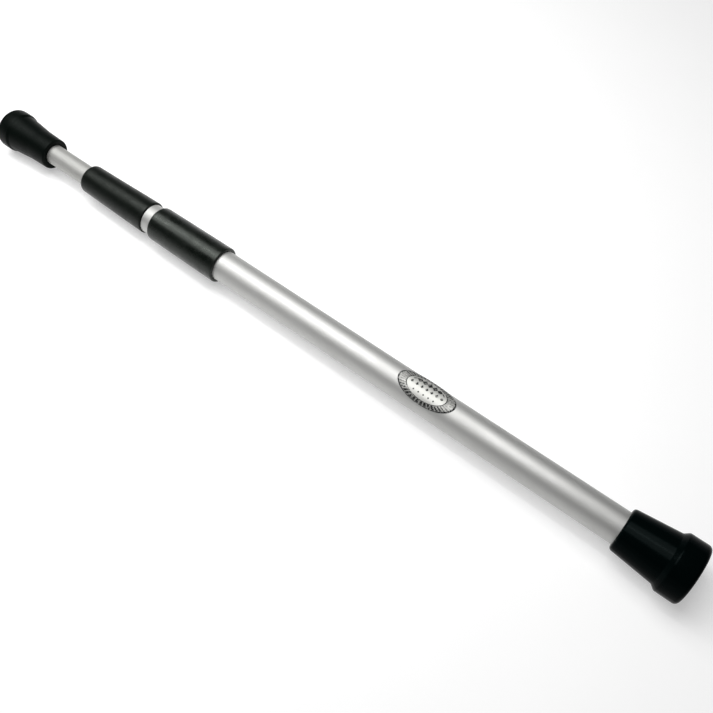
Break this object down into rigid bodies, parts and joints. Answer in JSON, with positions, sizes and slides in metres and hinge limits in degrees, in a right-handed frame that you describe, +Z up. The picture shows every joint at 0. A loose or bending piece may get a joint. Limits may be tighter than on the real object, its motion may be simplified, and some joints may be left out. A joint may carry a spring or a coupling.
{
  "type": "doorway pull up bar",
  "caption": "Telescoping doorway pull up bar with rubber feet and hand grips; turning the outer tube drives a lead screw that extends the inner tube.",
  "frame": {"origin": "centre of the fixed foot's contact face, on the bar's axis", "axes": "+X is the outward normal of the fixed foot's contact face, along the bar's axis; the bar runs to -X; +Z is up, through the middle of the badge"},
  "size_m": [0.842, 0.057, 0.057],
  "materials": {
    "foot_rubber": "moulded, satin",
    "grip_rubber": "smooth matt",
    "chromed_tube": "satin chrome plate",
    "badge_print": "printed foil",
    "zinc_plated_steel": "bright zinc",
    "oiled_steel": "oiled, rolled thread",
    "nylon": "natural nylon"
  },
  "bodies": {
    "fixed_foot": {"fixed_foot_rubber": "foot_rubber", "fixed_foot_plate": "zinc_plated_steel", "fixed_foot_thrust_washer": "nylon", "fixed_foot_retaining_ring": "zinc_plated_steel", "fixed_foot_bush": "nylon"},
    "turning_tube": {"outer_tube": "chromed_tube", "outer_grip": "grip_rubber", "badge": "badge_print", "end_plug": "nylon", "end_plug_rivet_left": "zinc_plated_steel", "end_plug_rivet_right": "zinc_plated_steel", "screw_anchor": "zinc_plated_steel", "anchor_pin": "zinc_plated_steel", "lead_screw": "oiled_steel", "stop_washer": "zinc_plated_steel", "stop_screw": "zinc_plated_steel", "mouth_bush": "nylon", "mouth_bush_rivet_left": "zinc_plated_steel", "mouth_bush_rivet_right": "zinc_plated_steel"},
    "sliding_tube": {"inner_tube": "chromed_tube", "inner_grip": "grip_rubber", "drive_nut": "zinc_plated_steel", "drive_nut_rivet_left": "zinc_plated_steel", "drive_nut_rivet_right": "zinc_plated_steel", "guide_ring": "nylon", "inner_end_plug": "nylon", "inner_end_plug_rivet_left": "zinc_plated_steel", "inner_end_plug_rivet_right": "zinc_plated_steel"},
    "swivel_foot": {"swivel_foot_rubber": "foot_rubber", "swivel_foot_plate": "zinc_plated_steel", "swivel_foot_thrust_washer": "nylon", "swivel_foot_retaining_ring": "zinc_plated_steel", "swivel_foot_bush": "nylon"}
  },
  "joints": [
    {"name": "tube_turn", "type": "hinge", "parent": "fixed_foot", "child": "turning_tube", "pos_m": [0, 0, 0], "axis": [1, 0, 0], "range_deg": [0, 15120]},
    {"name": "extension", "type": "slide", "parent": "fixed_foot", "child": "sliding_tube", "axis": [-1, 0, 0], "range_m": [0, 0.252]},
    {"name": "foot_swivel", "type": "hinge", "parent": "sliding_tube", "child": "swivel_foot", "pos_m": [-0.842, 0, 0], "axis": [1, 0, 0], "continuous": true}
  ],
  "couplings": [
    {"joint": "extension", "follows": "tube_turn", "m_per_rad": 0.00095493}
  ]
}
